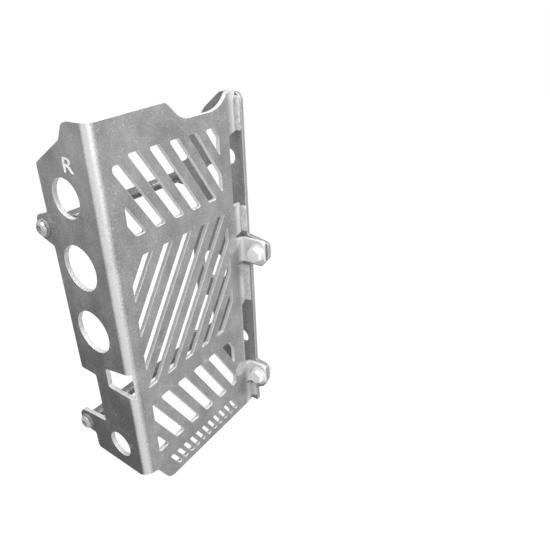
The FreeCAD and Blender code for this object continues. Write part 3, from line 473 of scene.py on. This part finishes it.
def softenEdges(piece, width, segments):
    applyModifier(piece, "BEVEL", width=width, segments=segments, material=edgeSlot,
                  limit_method="ANGLE", angle_limit=meshSet["softenFrom"],
                  use_clamp_overlap=False, loop_slide=False)


def smoothShading(piece):
    selectOnly(piece)
    bpy.ops.object.shade_smooth_by_angle(angle=meshSet["smoothUpTo"])
    applyModifier(piece, "WEIGHTED_NORMAL", keep_sharp=True, weight=meshSet["flatWeight"])


wallSet = {
    "startBehind": 0.02 * mm,  # a ray starts this far under the face
    "tolerance": 0.12 * mm,
}


# Gives the walls that a cutter left their own finish. They are the faces behind which the metal isn't
# one sheet thick.
def dressCutWalls(piece, thickness, metalFor):
    mesh = piece.data
    mesh.calc_loop_triangles()
    widest = {}
    for triangle in mesh.loop_triangles:
        best = widest.get(triangle.polygon_index)
        if best is None or triangle.area > best.area:
            widest[triangle.polygon_index] = triangle
    walls = []
    for number, triangle in widest.items():
        face = mesh.polygons[number]
        if face.material_index != mainSlot:
            continue
        corners = [mesh.vertices[vertex].co for vertex in triangle.vertices]
        middle = (corners[0] + corners[1] + corners[2]) / 3
        start = middle - face.normal * wallSet["startBehind"]
        struck, spot, _, _ = piece.ray_cast(start, -face.normal)
        behind = (spot - middle).length if struck else 0.0
        if abs(behind - thickness) > wallSet["tolerance"]:
            walls.append((face, metalFor(middle)))
    for face, metal in walls:
        face.material_index = mesh.materials.find(metal.name)


sideMark = {
    "letter": "R",  # the side that the guard is made for
    "size": 12.4 * mm,
    "strokes": [(0.0, 0.0), (0.5, 0.35)],  # the letter is struck twice, so its strokes are wide
    "widen": 1.32,
    "rear": (-121.0, 18.0, 17.8),  # lower corner nearest the rear, in mm
    "cut": 0.25 * mm,
}


# The side letter is stamped into the outer face of the flange
def stampSideMark(piece, shift):
    deselectAll()
    outer, rear, low = sideMark["rear"]
    place = (outer * mm, (rear - shift[0]) * mm, (low + shift[1]) * mm)
    bpy.ops.object.text_add(location=place, rotation=(math.radians(90), 0, math.radians(-90)))
    stamp = bpy.context.object
    stamp.data.body = sideMark["letter"]
    stamp.data.size = sideMark["size"]
    stamp.data.extrude = sideMark["cut"]
    stamp.scale.x = sideMark["widen"]
    bpy.ops.object.convert(target="MESH")
    stamp = bpy.context.object
    bpy.ops.object.transform_apply(location=True, rotation=True, scale=True)
    editWhole(stamp, [
        (bpy.ops.mesh.remove_doubles, {"threshold": meshSet["sameCutPoint"]}),
        (bpy.ops.mesh.normals_make_consistent, {"inside": False}),
    ])
    stamp.data.materials.clear()
    stamp.data.materials.append(stampMetal)
    applyModifier(piece, "BOOLEAN", operation="DIFFERENCE", solver="EXACT", object=stamp,
                  material_mode="TRANSFER")
    bpy.data.objects.remove(stamp)
    editWhole(piece, [
        (bpy.ops.mesh.remove_doubles, {"threshold": meshSet["sameCutPoint"]}),
        (bpy.ops.mesh.dissolve_degenerate, {"threshold": meshSet["needle"]}),
        (bpy.ops.mesh.dissolve_limited, {"angle_limit": meshSet["flatAfterCut"]}),
    ])


sheetSet = {
    "thickness": 3.0 * mm,
    "edge": 0.26 * mm,  # width of the worn edge
    "edgeSegments": 2,
    "flangeInside": -0.117,  # further outboard than this the sheet lies across X
}


def finishShell():
    piece = mergedCopy("guard_shell", [shellMetal, edgeMetal, frontCutMetal, sideCutMetal])
    softenEdges(piece, sheetSet["edge"], sheetSet["edgeSegments"])
    dressCutWalls(piece, sheetSet["thickness"],
                  lambda spot: sideCutMetal if spot.x < sheetSet["flangeInside"] else frontCutMetal)
    for shift in sideMark["strokes"]:
        stampSideMark(piece, shift)
    smoothShading(piece)
    return piece


def finishSidePlate():
    piece = mergedCopy("inner_side_plate", [plateMetal, edgeMetal, plateCutShadedMetal])
    softenEdges(piece, sheetSet["edge"], sheetSet["edgeSegments"])
    dressCutWalls(piece, sheetSet["thickness"], lambda spot: plateCutShadedMetal)
    smoothShading(piece)
    return piece


fastenerSet = {
    "edge": 0.14 * mm,
    "shadedEdge": 0.2 * mm,  # on the long bolts, their washers and nuts, where the edges carry painted shade
    "edgeSegments": 2,
}


def finishFastener(node):
    metals = [zincMetal, zincMetal]
    edge = fastenerSet["edge"]
    if node.endswith("spacer"):
        metals = [tubeMetal, tubeMetal]
    elif "cross" in node:
        # The long bolts' edges get painted shade
        metals = [boltMetal, paintedEdgeShade]
        edge = fastenerSet["shadedEdge"]
    piece = mergedCopy(node, metals)
    softenEdges(piece, edge, fastenerSet["edgeSegments"])
    smoothShading(piece)
    return piece


for name in list(nodes):
    if name == "guard_shell":
        finished = finishShell()
    elif name == "inner_side_plate":
        finished = finishSidePlate()
    else:
        finished = finishFastener(name)
    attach(finished, "root")
    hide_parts(name)
    print("finished", name, len(finished.data.polygons), "faces")


weldSet = {
    "seams": {  # lower end and upper end in mm, and how far the bead reaches forward
        "top_seam_weld": (19.2, 42.6, 3.3),
        "upper_seam_weld": (-54.6, -34.8, 4.0),
        "middle_seam_weld": (-113.4, -82.6, 4.5),
        "lower_seam_weld": (-208.0, -195.0, 5.0),
    },
    "middle": (-3.3, -9.7),  # across and in depth, in mm
    "sideReach": 1.6,  # in mm
    "sides": 32,
    "endRounding": 0.9 * mm,
    "endSegments": 3,
    "endAngle": math.radians(60),
    "voxel": 0.3 * mm,
    "ripple": 0.45 * mm,
    "rippleSize": 1.6 * mm,
}


# Bead in the corner between the curved lip and the side plate
def addWeld(name, low, high, reach):
    deselectAll()
    across, depth = weldSet["middle"]
    bpy.ops.mesh.primitive_cylinder_add(vertices=weldSet["sides"], radius=mm, depth=(high - low) * mm,
                                        location=(across * mm, depth * mm, (low + high) / 2 * mm))
    bead = bpy.context.object
    bead.name = name
    bead.scale = (weldSet["sideReach"], reach, 1.0)
    bpy.ops.object.transform_apply(location=True, rotation=True, scale=True)
    bead.data.materials.append(weldMetal)
    applyModifier(bead, "BEVEL", width=weldSet["endRounding"], segments=weldSet["endSegments"],
                  limit_method="ANGLE", angle_limit=weldSet["endAngle"])
    applyModifier(bead, "REMESH", mode="VOXEL", voxel_size=weldSet["voxel"])
    ripples = bpy.data.textures.new(name + "_ripples", "CLOUDS")
    ripples.noise_scale = weldSet["rippleSize"]
    applyModifier(bead, "DISPLACE", texture=ripples, texture_coords="LOCAL", strength=weldSet["ripple"],
                  mid_level=0.5)
    selectOnly(bead)
    bpy.ops.object.shade_smooth()
    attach(bead, "root")


for name, (low, high, reach) in weldSet["seams"].items():
    addWeld(name, low, high, reach)
print("welds laid")


studioSet = {
    "floorSize": 16.0,
    "floorColour": (0.5, 0.5, 0.5, 1),
    "glow": 1.16,  # strength of the white that the camera sees of the floor
    "shownToCamera": 0.85,  # share of plain white in what the camera sees of the floor
    "shownToMetal": 0.12,  # the same for what the metal mirrors
    "worldStrength": 0.22,
    "worldInMetal": 0.3,  # share of full white in what the metal mirrors of the world
}
lampSets = {
    "key_lamp": {"place": (0.60, -1.00, 0.70), "size": (0.6, 0.6), "power": 15.8},
    "top_lamp": {"place": (-0.25, -0.15, 1.25), "size": (0.5, 0.5), "power": 7.0},
    "fold_lamp": {"place": (-0.74, -0.78, -0.02), "size": (0.14, 0.36), "power": 2.1},
    "flange_lamp": {"place": (-0.42, 0.02, 0.30), "size": (0.2, 0.2), "power": 1.2},
}
floorLevel = cadBox[0].z


def studioMaterial():
    material = bpy.data.materials.new("studio_white")
    material.use_nodes = True
    tree = material.node_tree
    tree.nodes.clear()
    matt = addNode(tree, "ShaderNodeBsdfDiffuse", {"Color": studioSet["floorColour"]})
    glow = addNode(tree, "ShaderNodeEmission", {"Color": (1, 1, 1, 1), "Strength": studioSet["glow"]})
    light = addNode(tree, "ShaderNodeLightPath").outputs
    seen = calculate(tree, "MAXIMUM", light["Is Camera Ray"], light["Is Transmission Ray"])
    share = calculate(tree, "MULTIPLY", seen, studioSet["shownToCamera"])
    metalShare = calculate(tree, "MULTIPLY", light["Is Glossy Ray"], studioSet["shownToMetal"])
    shown = calculate(tree, "MAXIMUM", share, metalShare)
    mix = addNode(tree, "ShaderNodeMixShader", {"Fac": shown, 1: matt.outputs[0], 2: glow.outputs[0]})
    addNode(tree, "ShaderNodeOutputMaterial", {"Surface": mix.outputs[0]})
    return material


deselectAll()
bpy.ops.mesh.primitive_plane_add(size=studioSet["floorSize"], location=(0, 0, floorLevel))
floor = bpy.context.object
floor.name = "floor"
floor.data.materials.append(studioMaterial())

world = bpy.data.worlds.new("studio")
world.use_nodes = True
worldTree = world.node_tree
background = worldTree.nodes["Background"]
background.inputs["Color"].default_value = (1, 1, 1, 1)
rays = addNode(worldTree, "ShaderNodeLightPath").outputs
straightRays = calculate(worldTree, "MAXIMUM", rays["Is Camera Ray"], rays["Is Transmission Ray"])
mirroredRays = calculate(worldTree, "MULTIPLY", rays["Is Glossy Ray"], studioSet["worldInMetal"])
shownRays = calculate(worldTree, "MAXIMUM", straightRays, mirroredRays)
worldTree.links.new(spread(worldTree, shownRays, 0.0, 1.0, studioSet["worldStrength"], 1.0),
                    background.inputs["Strength"])
bpy.context.scene.world = world

objectMiddle = (cadBox[0] + cadBox[1]) / 2


def addLamp(name, look):
    lamp = bpy.data.lights.new(name, "AREA")
    lamp.shape = "RECTANGLE"
    lamp.size, lamp.size_y = look["size"]
    lamp.energy = look["power"]
    item = bpy.data.objects.new(name, lamp)
    bpy.context.scene.collection.objects.link(item)
    item.location = look["place"]
    item.rotation_euler = (objectMiddle - Vector(look["place"])).to_track_quat("-Z", "Y").to_euler()


for name, look in lampSets.items():
    addLamp(name, look)

# Fitted to the outline in the photograph
cameraSet = {
    "place": (-0.27148, -0.22605, 0.09483),
    "turn": (65.655, 2.314, -53.936),  # degrees
    "focalLength": 33.304,
    "shift": (0.03126, -0.0689),
    "sensorWidth": 36.0,
    "nearest": 0.01,
    "farthest": 60.0,
}
camera = bpy.data.cameras.new("camera")
camera.sensor_width = cameraSet["sensorWidth"]
camera.lens = cameraSet["focalLength"]
camera.shift_x, camera.shift_y = cameraSet["shift"]
camera.clip_start = cameraSet["nearest"]
camera.clip_end = cameraSet["farthest"]
cameraItem = bpy.data.objects.new("camera", camera)
bpy.context.scene.collection.objects.link(cameraItem)
cameraItem.location = cameraSet["place"]
cameraItem.rotation_euler = [math.radians(angle) for angle in cameraSet["turn"]]
bpy.context.scene.camera = cameraItem
bpy.context.scene.view_settings.view_transform = "Standard"
print("studio built")
